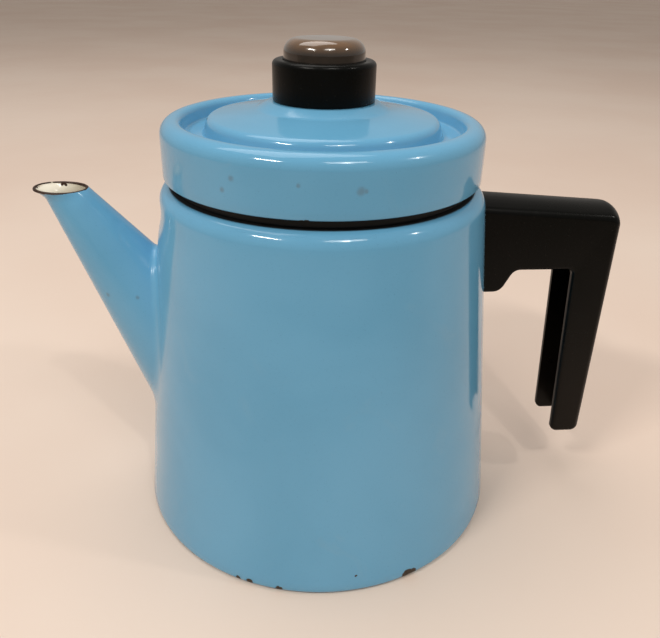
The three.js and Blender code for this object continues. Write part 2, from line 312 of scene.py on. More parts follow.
def carve(obj, tools):
    """Cuts the tools away from obj for good, and removes them."""
    for tool in tools:
        cutter = obj.modifiers.new("cut", "BOOLEAN")
        cutter.object = tool
        cutter.operation = "DIFFERENCE"
        cutter.solver = "EXACT"
    bpy.context.view_layer.update()
    result = bpy.data.meshes.new_from_object(obj.evaluated_get(bpy.context.evaluated_depsgraph_get()))
    obj.modifiers.clear()
    obj.data = result
    for tool in tools:
        bpy.data.objects.remove(tool)
    return smooth(obj)


def merged(tools):
    """Several separate tools as one object, so that they cut in one step."""
    work = bmesh.new()
    for tool in tools:
        work.from_mesh(tool.data)
        bpy.data.objects.remove(tool)
    mesh = bpy.data.meshes.new("tools")
    work.to_mesh(mesh)
    work.free()
    obj = bpy.data.objects.new("tools", mesh)
    bpy.context.scene.collection.objects.link(obj)
    return obj


def hole_rings(rings, radius, low, high, sides=24):
    """Tools for upright holes in rings about the axis: each ring is (radius, count)."""
    tools = []
    for ring_radius, count in rings:
        for k in range(count):
            angle = 2 * math.pi * (k + 0.5) / count
            place = {"x": ring_radius * math.cos(angle), "y": ring_radius * math.sin(angle)}
            tools.append(rod_tool(radius, low, high, sides, **place))
    return merged(tools)


def fit(obj, body, slot, *nodes):
    """Puts a finished mesh on its body in place of the frame's nodes; slot, the name of its finish, is not
    used.
    """
    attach(obj, body)
    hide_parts(*nodes)


# ---------------------------------------------------------------- materials
LIP_SLOPE = 0.03            # how the worn line at the spout's lip falls towards the pouring side
FLOOR_SHEEN_HEIGHTS = (100, 30)    # the handle's painted warm reflection of the paper starts at the first and is full at the second


class Finish:
    """A procedural material, built node by node in the object's own coordinates."""

    def __init__(self, name, **settings):
        self.material = bpy.data.materials.new(name)
        self.material.use_nodes = True
        self.nodes = self.material.node_tree.nodes
        self.links = self.material.node_tree.links
        self.shader = self.nodes["Principled BSDF"]
        self.place = self.add("ShaderNodeTexCoord").outputs["Object"]
        for setting, value in settings.items():
            self.set(setting.replace("_", " "), value)

    def add(self, kind, inputs=(), **settings):
        node = self.nodes.new(kind)
        for key, value in settings.items():
            setattr(node, key, value)
        for key, value in dict(inputs).items():
            self.put(node.inputs[key], value)
        return node

    def vector_math(self, operation, first, second):
        return self.add("ShaderNodeVectorMath", {0: first, 1: second}, operation=operation)

    def put(self, socket, value):
        if isinstance(value, bpy.types.NodeSocket):
            self.links.new(value, socket)
        else:
            socket.default_value = value

    def set(self, name, value):
        self.put(self.shader.inputs[name], value)

    def stretched(self, x, y, z):
        return self.vector_math("MULTIPLY", self.place, (x, y, z)).outputs[0]

    def noise(self, scale, detail=2.0, place=None, distortion=0.0):
        """Noise from 0 to 1, with about scale features to the metre."""
        inputs = {"Vector": place or self.place, "Scale": scale, "Detail": detail, "Distortion": distortion}
        return self.add("ShaderNodeTexNoise", inputs).outputs["Fac"]

    def math(self, operation, first, second):
        return self.add("ShaderNodeMath", {0: first, 1: second}, operation=operation).outputs[0]

    def remap(self, value, low, high, start=0.0, end=1.0):
        """value eased from start at low to end at high, and held beyond them."""
        inputs = {"Value": value, "From Min": low, "From Max": high, "To Min": start, "To Max": end}
        return self.add("ShaderNodeMapRange", inputs, interpolation_type="SMOOTHSTEP").outputs["Result"]

    def mix(self, amount, first, second):
        """The colour first at 0 and second at 1."""
        return self.add("ShaderNodeMix", {0: amount, 6: first, 7: second}, data_type="RGBA").outputs[2]

    def blend(self, amount, first, second):
        """The number first at 0 and second at 1."""
        return self.add("ShaderNodeMix", {0: amount, 2: first, 3: second}).outputs[0]

    def bump(self, height, depth, under=None):
        """depth is the height in metres that a change of 1 stands for."""
        node = self.add("ShaderNodeBump", {"Height": height, "Distance": depth, "Strength": 1.0})
        if under:
            self.put(node.inputs["Normal"], under)
        return node.outputs["Normal"]

    def axis(self, name):
        return self.add("ShaderNodeSeparateXYZ", {0: self.place}).outputs[name]

    def from_axis(self):
        """The distance from the pot's axis."""
        flat = self.stretched(1, 1, 0)
        return self.add("ShaderNodeVectorMath", {0: flat}, operation="LENGTH").outputs["Value"]

    def spots(self, spot_places, ragged, feature, soft=0.12):
        """1 inside patches at (x, y, z, radius) places, whose edges wander by ragged, and 0 elsewhere."""
        wander = self.add("ShaderNodeTexNoise", {"Vector": self.place, "Scale": feature, "Detail": 3.0})
        shift = self.vector_math("SUBTRACT", wander.outputs["Color"], (0.5, 0.5, 0.5)).outputs[0]
        inputs = {0: shift, "Scale": metre(ragged)}
        shift = self.add("ShaderNodeVectorMath", inputs, operation="SCALE").outputs[0]
        place = self.vector_math("ADD", self.place, shift).outputs[0]
        total = None
        for x, y, z, radius in spot_places:
            centre = (metre(x), metre(y), metre(z))
            gap = self.vector_math("DISTANCE", place, centre).outputs["Value"]
            mask = self.remap(gap, metre(radius) * (1 + soft), metre(radius) * (1 - soft))
            total = mask if total is None else self.math("MAXIMUM", total, mask)
        return total

    def worn_lip(self, edge, ragged, feature):
        """1 above a ragged line near the spout's lip, lower on the pouring side, and 0 below it."""
        line = self.math("SUBTRACT", self.axis("Z"), self.math("MULTIPLY", self.axis("X"), LIP_SLOPE))
        wander = self.math("MULTIPLY", self.math("SUBTRACT", self.noise(feature, 3), 0.5), metre(ragged))
        level = edge - LIP_SLOPE * SPOUT["tip_x"]
        return self.remap(self.math("ADD", line, wander), metre(level - 0.1), metre(level + 0.1))


def enamel_gloss(finish, chips=None, matt=None):
    """Roughness and relief of fired enamel: waves, orange peel, handling haze, matt patches and chips."""
    haze = finish.remap(finish.noise(28, 4, distortion=0.6), 0.42, 0.68, 0.09, 0.2)
    scuffs = finish.remap(finish.noise(60, 3, finish.stretched(9, 9, 0.7)), 0.6, 0.75, 0.0, 0.06)
    roughness = finish.math("ADD", haze, scuffs)
    waves = finish.bump(finish.noise(24, 1), 0.00022)
    peel = finish.bump(finish.noise(420, 1), 0.000012, waves)
    if chips is None:
        finish.set("Roughness", roughness)
        finish.set("Normal", peel)
        return
    grain = finish.noise(1400, 3)
    finish.set("Roughness", finish.blend(matt, roughness, 0.72))
    pit = finish.bump(finish.math("MULTIPLY", chips, -1.0), 0.0003, peel)
    finish.set("Normal", finish.bump(finish.math("MULTIPLY", chips, grain), 0.00012, pit))


def chip_colour(finish, base, chips):
    """Dark fired steel in the chips, with a thin darker ring of ground coat round each."""
    steel = finish.mix(finish.noise(900, 3), CHIP_DARK, CHIP_BROWN)
    ring = finish.remap(chips, 0.02, 0.55)
    return finish.mix(finish.remap(chips, 0.5, 0.9), finish.mix(ring, base, GROUND_COAT), steel)


def rim_colour(finish):
    return finish.mix(finish.noise(700, 4), RIM_DARK, RIM_BROWN)


def blue_enamel(name, chip_places=(), stain_places=(), worn_lip=False, painted_neck_shade=False):
    finish = Finish(name, Specular_IOR_Level=0.4, Coat_Weight=0.12, Coat_Roughness=0.04, IOR=1.5)
    cloud = finish.remap(finish.noise(16, 3, distortion=0.4), 0.3, 0.7)
    colour = finish.mix(cloud, BLUE_DEEP, BLUE)
    speck = finish.remap(finish.noise(2600, 1), 0.66, 0.76)
    colour = finish.mix(finish.math("MULTIPLY", speck, 0.22), colour, BLUE_SPECK)
    dust = finish.remap(finish.noise(46, 5, distortion=1.2), 0.6, 0.78)
    colour = finish.mix(finish.math("MULTIPLY", dust, 0.05), colour, PALE_DUST)
    if stain_places:
        stains = finish.spots(stain_places, ragged=1.0, feature=500, soft=0.7)
        colour = finish.mix(finish.math("MULTIPLY", stains, 0.4), colour, GREY_STAIN)
    chips = None
    if chip_places:
        chips = finish.spots(chip_places, ragged=1.8, feature=420)
        colour = chip_colour(finish, colour, chips)
    if worn_lip:
        worn = finish.worn_lip(edge=133.95, ragged=1.2, feature=420)
        colour = finish.mix(worn, colour, rim_colour(finish))
    matt = chips
    # Painted shade: the neck under the lid's skirt is painted near black, and made matt, for the deep shadow
    # in the gap.
    if painted_neck_shade:
        neck = finish.remap(finish.from_axis(), metre(NECK_SHADE_LINE["outer"]), metre(NECK_SHADE_LINE["inner"]))
        colour = finish.mix(neck, colour, NECK_SHADE_BLACK)
        matt = finish.math("MAXIMUM", neck, chips)
    finish.set("Base Color", colour)
    enamel_gloss(finish, chips, matt)
    return finish.material


def white_enamel(name, worn_lip=False):
    finish = Finish(name, Specular_IOR_Level=0.5, IOR=1.52)
    drip = finish.remap(finish.noise(34, 4, finish.stretched(1, 1, 0.4)), 0.42, 0.72)
    colour = finish.mix(drip, CREAM, CREAM_DEEP)
    stain = finish.remap(finish.noise(90, 4), 0.62, 0.74)
    colour = finish.mix(finish.math("MULTIPLY", stain, 0.5), colour, COFFEE_STAIN)
    if worn_lip:
        drips = finish.spots(LIP_DRIPS, ragged=0.9, feature=500)
        worn = finish.math("MAXIMUM", drips, finish.worn_lip(edge=134.75, ragged=2.6, feature=300))
        colour = finish.mix(worn, colour, rim_colour(finish))
    finish.set("Base Color", colour)
    enamel_gloss(finish)
    return finish.material


def bare_rim():
    """The worn, coffee-browned steel at an enamel edge, with scraps of enamel left on it."""
    finish = Finish("bare_rim", Metallic=0.35)
    scraps = finish.remap(finish.noise(480, 3), 0.66, 0.72)
    finish.set("Base Color", finish.mix(scraps, rim_colour(finish), RIM_SCRAP))
    finish.set("Roughness", finish.remap(finish.noise(500, 3), 0.3, 0.7, 0.35, 0.6))
    finish.set("Normal", finish.bump(finish.noise(900, 4), 0.0002))
    return finish.material


def black_plastic(name, floor_sheen=0.0):
    """Moulded black phenolic: fine flow marks, a rubbed sheen, dust specks and a painted warm reflection of
    the paper low down.
    """
    finish = Finish(name, Specular_IOR_Level=0.13, IOR=1.5)
    flow = finish.remap(finish.noise(30, 4, finish.stretched(1, 1, 0.5), 0.8), 0.35, 0.7)
    colour = finish.mix(flow, PLASTIC, PLASTIC_FLOW)
    # Painted reflection: lower down, the handle turns warmer and lighter for the paper reflected in it.
    if floor_sheen:
        low = finish.remap(finish.axis("Z"), metre(FLOOR_SHEEN_HEIGHTS[0]), metre(FLOOR_SHEEN_HEIGHTS[1]))
        colour = finish.mix(finish.math("MULTIPLY", low, floor_sheen), colour, PLASTIC_FLOOR_SHEEN)
    dust = finish.remap(finish.noise(1500, 2), 0.7, 0.76)
    finish.set("Base Color", finish.mix(finish.math("MULTIPLY", dust, 0.12), colour, PLASTIC_DUST))
    rub = finish.remap(finish.noise(40, 5, distortion=0.5), 0.35, 0.7, 0.26, 0.34)
    hair = finish.remap(finish.noise(500, 2, finish.stretched(1, 1, 0.06)), 0.6, 0.72, 0.0, 0.06)
    finish.set("Roughness", finish.math("ADD", rub, hair))
    ripple = finish.bump(finish.noise(22, 2), 0.00018)
    finish.set("Normal", finish.bump(finish.noise(800, 2), 0.000012, ripple))
    return finish.material


def stained_and_shaded_glass():
    """Sight glass browned by years of coffee; darker low down where it sits in the collar, as painted shade,
    and lighter higher up, as a painted reflection of the room.
    """
    finish = Finish("stained_and_shaded_glass", IOR=1.5, Coat_Weight=1.0, Coat_Roughness=0.02)
    low, high = metre(DOME["bottom"] + DOME["lit_above"]), metre(DOME["top"])
    # Painted light: the blend by height puts shade low down and the room's reflection higher up.
    height = finish.remap(finish.axis("Z"), low, high)
    cloud = finish.remap(finish.noise(160, 4, distortion=0.8), 0.35, 0.7)
    shade = finish.mix(height, GLASS_SHADED_LOW, GLASS_LIT_HIGH)
    finish.set("Base Color", finish.mix(finish.math("MULTIPLY", cloud, 0.3), shade, GLASS_CLOUD))
    finish.set("Roughness", finish.remap(finish.noise(120, 3), 0.4, 0.7, 0.06, 0.2))
    finish.set("Normal", finish.bump(finish.noise(140, 2), 0.00008))
    return finish.material


def spun_metal(name, light, dark, roughness, worn=0.25):
    """Spun or turned metal: fine circles about the axis, dull patches and coffee film."""
    finish = Finish(name, Metallic=1.0)
    circle = finish.add("ShaderNodeCombineXYZ", {0: finish.from_axis(), 1: finish.axis("Z")})
    lines = finish.noise(2400, 2, circle.outputs[0])
    film = finish.remap(finish.noise(55, 4, distortion=0.6), 0.42, 0.72)
    colour = finish.mix(lines, dark, light)
    finish.set("Base Color", finish.mix(finish.math("MULTIPLY", film, worn), colour, COFFEE_FILM))
    finish.set("Roughness", finish.remap(film, 0.0, 1.0, roughness, roughness + 0.2))
    finish.set("Normal", finish.bump(lines, 0.00002))
    return finish.material


def soft_rubber():
    finish = Finish("soft_rubber")
    finish.set("Base Color", finish.mix(finish.noise(300, 3), RUBBER, RUBBER_WORN))
    finish.set("Roughness", finish.remap(finish.noise(200, 3), 0.3, 0.7, 0.6, 0.85))
    finish.set("Normal", finish.bump(finish.noise(900, 2), 0.00004))
    return finish.material


def paper_floor():
    finish = Finish("paper_floor", Specular_IOR_Level=0.2)
    mottle = finish.remap(finish.noise(3, 4), 0.3, 0.7)
    paper = finish.mix(mottle, PAPER, PAPER_LIGHT)
    # Painted shade: darker towards the front, for light falling off on the paper.
    front = finish.remap(finish.axis("Y"), metre(SHADE_STARTS), metre(SHADE_FULL))
    finish.set("Base Color", finish.mix(front, paper, PAPER_SHADE))
    finish.set("Roughness", finish.remap(finish.noise(60, 3), 0.3, 0.7, 0.7, 0.85))
    finish.set("Normal", finish.bump(finish.noise(600, 3), 0.00003))
    return finish.material


def around(radius, height, places):
    """(x, y, z, size) for (angle, size) places round the pot; 270 degrees faces -Y."""
    return [(radius * math.cos(math.radians(a)), radius * math.sin(math.radians(a)), height, size)
            for a, size in places]


EDGE_CHIPS = (around(74.7, 1.9, [(241.9, 1.1), (245.6, 1.4), (254.7, 1.2), (293.4, 2.4), (295.0, 1.7),
                                 (40, 1.6), (118, 1.2), (166, 0.9)])
              + around(74.1, 8.1, [(276.8, 0.45)]))
LIP_DRIPS = [(-98.0, 6.9, 133.4, 0.75), (-96.7, 6.9, 133.2, 0.65), (-97.3, 7.2, 134.0, 1.0)]
SPOUT_STAINS = [(-82.0, -12.9, 96.4, 0.8), (-70.5, -16.0, 96.4, 0.7)]
DISC_CHIPS = around(42.0, 160.0, [(angle, 0.42 if angle % 2 else 0.6)
                                  for angle in (157, 160, 162, 165, 170, 181, 184)])
SKIRT_CHIPS = around(LID["skirt_radius"], 140.4, [(259.6, 0.7), (260.9, 0.9), (95, 1.3)])
SKIRT_STAINS = (around(LID["skirt_radius"], 151.4, [(237.4, 0.9), (258.6, 0.6)])
                + around(LID["skirt_radius"], 147.2, [(233.8, 0.8)])
                + around(LID["skirt_radius"], 149.8, [(276.9, 1.2), (278.2, 0.7)]))

MATERIALS = {
    "body": blue_enamel("blue_enamel_body", EDGE_CHIPS, painted_neck_shade=True),
    "spout": blue_enamel("blue_enamel_spout", stain_places=SPOUT_STAINS, worn_lip=True),
    "lid": blue_enamel("blue_enamel_lid", SKIRT_CHIPS + DISC_CHIPS, SKIRT_STAINS),
    "white": white_enamel("white_enamel"),
    "spout_white": white_enamel("white_enamel_spout", worn_lip=True),
    "rim": bare_rim(),
    "grip": black_plastic("black_plastic_grip", 0.6),
    "knob": black_plastic("black_plastic_knob"),
    "glass": stained_and_shaded_glass(),
    "aluminium": spun_metal("spun_aluminium", ALUMINIUM, ALUMINIUM_DULL, 0.3),
    "steel": spun_metal("plain_steel", STEEL, STEEL_DULL, 0.35, 0.15),
    "rubber": soft_rubber(),
}


def finishes(*names):
    return [MATERIALS[name] for name in names]


# ---------------------------------------------------------------- pot
def spout_axis():
    """The spout cone's apex and its direction from the apex down into the pot."""
    lean = math.radians(SPOUT["lean"])
    reach = SPOUT["tip_radius"] / math.tan(math.radians(SPOUT["taper"]))
    down = Vector((math.sin(lean), 0, -math.cos(lean)))
    return Vector((SPOUT["tip_x"], 0, SPOUT["tip_z"])) - down * reach, down


def make_body():
    half = POT["wall"] / 2
    shoulder = POT["shoulder"] - half
    path = divided(rounded([
        (pot_radius(BASE_EDGE) - half, BASE_EDGE),
        (pot_radius(shoulder) - half, shoulder, POT["shoulder_bend"]),
        (POT["neck_radius"] - half, shoulder, POT["neck_bend"]),
        (POT["neck_radius"] - half, POT["neck_top"] - half),
    ]), 2.5)
    outer, inner, foot = sheet(path, POT["wall"])
    body = turned("pot_body", [(outer, 0), (inner, 1), (foot, 0)], finishes("body", "white"))
    draw_in(body)
    apex, down = spout_axis()
    port = rod_tool(SPOUT["port"], SPOUT["port_low"], SPOUT["port_high"])
    turn = down.to_track_quat("Z", "Y").to_matrix().to_4x4()
    port.data.transform(Matrix.Translation(metre(apex)) @ turn)
    fit(carve(body, [port]), "pot", "blue_enamel", "body_shell")


def draw_in(body):
    """The wall just above the spout's root, drawn in where the spout was welded on."""
    for vertex in body.data.vertices:
        x, y, z = vertex.co * 1000
        above = (z - DRAWN_IN["height"]) / DRAWN_IN["spread"]
        beside = (math.degrees(math.atan2(-y, -x)) - DRAWN_IN["angle"]) / DRAWN_IN["fan"]
        amount = DRAWN_IN["depth"] * math.exp(-above ** 2 - beside ** 2)
        shrink = 1 - amount / math.hypot(x, y)
        vertex.co.x *= shrink
        vertex.co.y *= shrink


def make_base():
    edge = pot_radius(BASE_EDGE)
    inside = edge - POT["wall"]
    top = BASE_EDGE + 0.1
    outer = rounded([(0, 0), (40, 0), (edge, 0, BASE_ROUNDING), (edge, top)])
    inner = rounded([(inside, top), (inside, POT["wall"], 1), (0, POT["wall"])])
    base = turned("pot_base", [(outer, 0), (inner, 1)], finishes("body", "white"))
    fit(base, "pot", "blue_enamel", "base_plate")


def make_spout():
    apex, down = spout_axis()
    taper = math.radians(SPOUT["taper"])
    side = Vector((0, 1, 0))
    up = side.cross(down)
    lines = []
    for k in range(SPOUT_ROUND):
        turn = 2 * math.pi * k / SPOUT_ROUND
        outward = up * math.cos(turn) + side * math.sin(turn)
        ray = (down * math.cos(taper) + outward * math.sin(taper)).normalized()
        normal = (outward * math.cos(taper) - down * math.sin(taper)).normalized()
        lines.append(spout_profile(apex, ray, normal))
    first_line, line_finish = lines[0]
    count = len(first_line)
    vertices = [point for points, _ in lines for point in points]
    faces = []
    face_finish = []
    for k in range(SPOUT_ROUND):
        ahead = (k + 1) % SPOUT_ROUND
        for j in range(count - 1):
            faces.append([k * count + j, k * count + j + 1, ahead * count + j + 1, ahead * count + j])
            face_finish.append(line_finish[j])
    materials = finishes("spout", "spout_white", "rim")
    spout = smooth(mesh_object("pot_spout", vertices, faces, materials, face_finish))
    fit(spout, "pot", "blue_enamel", "spout")


def to_pot(apex, ray):
    """How far along a ray from the apex the pot's cone is met."""
    low, high = 0.0, 200.0
    for _ in range(50):
        middle = (low + high) / 2
        point = apex + ray * middle
        outside = math.hypot(point.x, point.y) > pot_radius(point.z)
        low, high = (middle, high) if outside else (low, middle)
    return low


def on_pot(point, sunk):
    """The point moved in or out to lie under the surface of the pot's cone, sunk deep."""
    scale = (pot_radius(point.z) - sunk) / math.hypot(point.x, point.y)
    return Vector((point.x * scale, point.y * scale, point.z))


def lip_flare(normal):
    """How far the lip turns out, level with the floor: 2.9 where it pours, 0.8 beside, none at the back."""
    level = Vector((normal.x, normal.y, 0)).normalized()
    pouring = -level.x
    return level * (0.8 + 1.44 * pouring + 0.65 * pouring ** 2)


def spout_profile(apex, ray, normal):
    """One line along the spout, up outside from the foot and back down inside, with its finishes."""
    wall, fillet, flare_length = SPOUT["wall"], SPOUT["fillet"], SPOUT["flare_length"]
    end = to_pot(apex, ray)
    contact = apex + ray * end
    skin = (Vector((contact.x, contact.y, 0)).normalized() + Vector((0, 0, POT["slope"]))).normalized()
    away = (normal - skin * normal.dot(skin)).normalized()
    spread = on_pot(contact + away * fillet, 0.0)
    start = apex + ray * (end - fillet)
    foot = [on_pot(contact + away * fillet, SPOUT["sunk"])]
    foot += [spread * (1 - t) ** 2 + contact * 2 * t * (1 - t) + start * t ** 2 for t in fractions(12)]

    tip = (SPOUT["tip_z"] - apex.z) / ray.z
    flare_start = tip + flare_length
    flare = lip_flare(normal)
    outside = [apex + ray * (end - fillet + (flare_start - end + fillet) * t) for t in fractions(30)]
    lip = [apex + ray * (flare_start - flare_length * t) + flare * t ** 2 for t in fractions(10)]

    half = wall / 2
    centre = lip[-1] - normal * half
    bead = [centre + normal * half * math.cos(math.pi * t) - ray * half * math.sin(math.pi * t)
            for t in fractions(8)]
    port_end = end + SPOUT["through"]
    inside = [apex + ray * (tip + flare_length * t) + flare * (1 - t) ** 2 - normal * wall
              for t in fractions(6)]
    inside += [apex + ray * (flare_start + (port_end - flare_start) * t) - normal * wall
               for t in fractions(10)]

    blue = len(foot) + len(outside) + len(lip) - 1
    finish = [0] * blue + [2] * len(bead) + [1] * (len(inside) + 1)
    return foot + outside + lip + bead + inside, finish


# ---------------------------------------------------------------- handle
def offset_outline(outline, distance):
    """A closed outline moved inward by distance, point by point."""
    moved = []
    for i, point in enumerate(outline):
        into = (point - outline[i - 1]).normalized()
        out = (outline[(i + 1) % len(outline)] - point).normalized()
        normal = Vector((-into.y - out.y, into.x + out.x)).normalized()
        stretch = max(0.4, normal.dot(Vector((-into.y, into.x))))
        moved.append(point + normal * (distance / stretch))
    return moved


def slab(name, outline, width, edge, materials):
    """An outline in XZ given a width in Y; its edges are rounded to the radius edge, or left square at 0."""
    half = width / 2
    layers = [(-half, 0), (half, 0)]
    if edge:
        flat = half - edge
        turns = [math.pi / 2 * k / EDGE_STEPS for k in range(EDGE_STEPS + 1)]
        arc = [(half - edge * (1 - math.sin(turn)), edge * (1 - math.cos(turn))) for turn in turns]
        middle = [(-flat + 2 * flat * t, 0) for t in fractions(2 * EDGE_STEPS)[:-1]]
        layers = [(-y, inset) for y, inset in arc[::-1]] + middle + arc
    vertices = []
    for y, inset in layers:
        vertices += [(p.x, y, p.y) for p in (offset_outline(outline, inset) if inset else outline)]
    count = len(outline)
    faces = []
    for j in range(len(layers) - 1):
        for i in range(count):
            ahead = (i + 1) % count
            faces.append([j * count + i, j * count + ahead, (j + 1) * count + ahead, (j + 1) * count + i])
    faces += [list(range(count))[::-1], list(range((len(layers) - 1) * count, len(layers) * count))]
    return smooth(mesh_object(name, vertices, faces, materials))


def anticlockwise(outline):
    area = sum(a.x * b.y - b.x * a.y for a, b in zip(outline, outline[1:] + outline[:1]))
    return outline if area > 0 else outline[::-1]


def crown(obj):
    """Swells the grip's top and its outer end outward, most at mid width and not at all at its sides."""
    for vertex in obj.data.vertices:
        x, y, z = vertex.co * 1000
        swell = GRIP["crown"] * (1 - (y / (GRIP["width"] / 2)) ** 2)
        outward = (x - BEAM["corner_x"]) / GRIP["corner"] + 1
        upward = (z - BEAM["corner_top"]) / GRIP["corner"] + 1
        vertex.co.x += metre(swell * min(1, max(0, outward)))
        vertex.co.z += metre(swell * min(1, max(0, upward)))


def make_grip():
    web = GRIP["web"]
    start, top, under, root = BEAM["start"], BEAM["top"], BEAM["under"], BEAM["root"]
    corner_top, corner_x = BEAM["corner_top"], BEAM["corner_x"]
    outer, foot, foot_rounding = LEG["outer"], LEG["foot"], LEG["foot_rounding"]
    outline = anticlockwise(rounded([
        (start, top), (corner_x, corner_top, GRIP["corner"]), (outer, foot, foot_rounding),
        (LEG["inner_low"], foot, foot_rounding), (LEG["inner_high"], under, 2.6),
        (BEAM["pad_end"], under, 4), (BEAM["pad"], root, 5), (start, root),
    ]))
    grip = slab("handle_channel", outline, GRIP["width"], GRIP["edge"], finishes("grip"))
    crown(grip)
    back, below = start - 14, foot - 13
    hollow = anticlockwise(rounded([
        (back, top + 1 - web), (corner_x - web, corner_top - web, 4), (outer - web, below), (back, below),
    ]))
    inside = slab("tool", hollow, GRIP["width"] - 2 * GRIP["wall"], 0, [])
    low, high, gap = 60, 150, 0.3
    cone = rounded([(0, low), (pot_radius(low) + gap, low), (pot_radius(high) + gap, high), (0, high)])
    carve(grip, [inside, turned("tool", [(cone, 0)], [])])
    soften(grip, GRIP["moulding"])
    fit(grip, "pot", "black_plastic", "handle_grip")


def soften(obj, radius):
    """Rounds the crisp edges slightly, as a moulding has them."""
    bevel = obj.modifiers.new("soft_edges", "BEVEL")
    bevel.width = metre(radius)
    bevel.segments = 3
    bevel.limit_method = "ANGLE"
    bevel.angle_limit = SHARP
    bevel.harden_normals = True


def make_handle_fixings():
    seat, tip, shank, head = SCREW["seat"], SCREW["tip"], SCREW["shank"], SCREW["head"]
    bottom = seat - SCREW["head_height"]
    recess, recess_top = SCREW["recess"], bottom + SCREW["recess_depth"]
    washer_bore = shank + THREAD_GAP
    washer_low = seat + WASHER["gap"]
    washer_high = washer_low + WASHER["thickness"]
    for place in ("inner", "outer"):
        low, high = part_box(f"handle_screw_{place}")
        across = Matrix.Translation(((low.x + high.x) / 2, 0, 0))
        points = rounded([
            (0, recess_top), (recess, recess_top), (recess, bottom), (head, bottom, 1.2), (head, seat),
            (shank, seat), (shank, tip - 1), (0, tip),
        ])
        screw = turned(f"screw_{place}", [(points, 0)], finishes("steel"), SMALL_ROUND)
        screw.data.transform(across)
        fit(screw, "pot", "steel", f"handle_screw_{place}")
        washer = ring(f"washer_{place}", washer_bore, WASHER["radius"], washer_low, washer_high, "steel")
        washer.data.transform(across)
        fit(washer, "pot", "steel", f"handle_washer_{place}")


def finish_bracket():
    """The strap inside the handle keeps the frame's mesh and takes the steel finish."""
    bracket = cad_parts["handle_bracket"].data
    bracket.materials.clear()
    bracket.materials.append(MATERIALS["steel"])


def ring(name, inner, outer, low, high, finish, edge=0.25):
    points = rounded([(inner, low, edge), (outer, low, edge), (outer, high, edge), (inner, high, edge)], 3)
    return turned(name, [(points, 0)], finishes(finish), SMALL_ROUND)


# ---------------------------------------------------------------- lid
def make_lid():
    half = LID["wall"] / 2
    skirt = LID["skirt_radius"] - half
    rim, boss = LID["rim_top"] - half, LID["boss_top"] - half
    path = divided(rounded([
        (skirt, LID["skirt_bottom"] + half),
        (skirt, rim, LID["rim_bend"]),
        (LID["rim_inner"], rim, 1.9),
        (LID["groove_outer"], LID["groove"], 1.4),
        (LID["groove_inner"], LID["groove"], 1.4),
        (LID["disc_radius"], LID["disc_low"], 2.6),
        (LID["boss_foot"], LID["disc_high"], 6),
        (LID["boss_radius"], boss, 1.5),
        (LID["hole"] + half, boss),
    ]), 3)
    outer, inner, foot = sheet(path, LID["wall"])
    pressing = turned("lid_pressing", [(outer, 0), (inner, 1), (foot, 0)], finishes("lid", "white"))
    fit(pressing, "lid", "blue_enamel", "lid_shell")


def make_knob():
    low = LID["boss_top"] + 0.05
    radius, top, socket, ledge = KNOB["radius"], KNOB["top"], KNOB["socket"], KNOB["ledge"]
    bore, spigot, foot = KNOB["bore"], KNOB["spigot"], KNOB["foot"]
    collar = rounded([
        (bore, foot, 0.4), (spigot, foot, 0.4), (spigot, low), (radius, low, 0.5),
        (radius, top, KNOB["bevel"]), (socket, top, 0.5), (socket, ledge), (bore, ledge, 0.4),
    ])
    fit(turned("knob_ring", [(collar, 0)], finishes("knob")), "lid", "black_plastic", "knob_collar")
    make_dome()
    for name, node, inner in (("lid_gasket", "knob_seal", spigot + THREAD_GAP),
                              ("dome_gasket", "dome_seal", DOME["seal_bore"])):
        lowest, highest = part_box(node)
        gasket = ring(name, inner, highest.x * 1000, lowest.z * 1000, highest.z * 1000, "rubber")
        fit(gasket, "lid", "rubber", node)
    make_nut()


def make_dome():
    radius, top, bottom, rounding = DOME["radius"], DOME["top"], DOME["bottom"], DOME["rounding"]
    bore, ceiling = radius - DOME["wall"], top - DOME["wall"]
    glass = rounded([
        (0, ceiling), (bore, ceiling, rounding - DOME["wall"]), (bore, bottom), (radius, bottom),
        (radius, top, rounding), (0, top),
    ], 16)
    fit(turned("glass_dome", [(glass, 0)], finishes("glass")), "lid", "amber_glass", "sight_dome")


def make_nut():
    low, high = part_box("knob_nut")
    bottom, top = low.z * 1000, high.z * 1000
    turns = [math.pi / 3 * k for k in range(6)]
    vertices = [(NUT_CORNER * math.sin(turn), NUT_CORNER * math.cos(turn), z)
                for z in (bottom, top) for turn in turns]
    faces = [[k, (k + 1) % 6, 6 + (k + 1) % 6, 6 + k] for k in range(6)]
    faces += [list(range(6))[::-1], list(range(6, 12))]
    nut = smooth(mesh_object("clamp_nut", vertices, faces, finishes("aluminium")))
    carve(nut, [rod_tool(KNOB["spigot"] + THREAD_GAP, bottom - OVERSHOOT, top + OVERSHOOT, SMALL_ROUND)])
    soften(nut, 0.4)
    fit(nut, "lid", "aluminium", "knob_nut")


# ---------------------------------------------------------------- pump and basket
def make_pump():
    half = BELL["wall"] / 2
    collar = STEM["outer"] + BELL["collar_gap"]
    path = divided(rounded([
        (BELL["foot_radius"] - half, BELL["foot"] + half),
        (BELL["foot_inner"], BELL["foot"] + half, 1),
        (BELL["chamber"], BELL["chamber_low"], 3),
        (BELL["chamber"], BELL["chamber_top"], 2),
        (collar, BELL["collar_low"], 0.8),
        (collar, BELL["collar_top"] - half),
    ]), 3)
    bell = turned("pump_bell", [(sum(sheet(path, BELL["wall"]), []), 0)], finishes("aluminium"))
    fit(carve(bell, [hole_rings(sides=32, **INLETS)]), "pump", "aluminium", "pump_base")
    stem = ring("pump_stem", STEM["inner"], STEM["outer"], STEM["bottom"], STEM["top"], "aluminium")
    fit(stem, "pump", "aluminium", "pump_tube")
    stop_bore, stop_radius = STEM["outer"] + 0.1, STEM["stop_radius"]
    stop_low = STEM["stop"] - STEM["stop_height"]
    stop = ring("stem_collar", stop_bore, stop_radius, stop_low, STEM["stop"], "aluminium", 0.5)
    fit(stop, "pump", "aluminium", "basket_stop")
    make_valve()


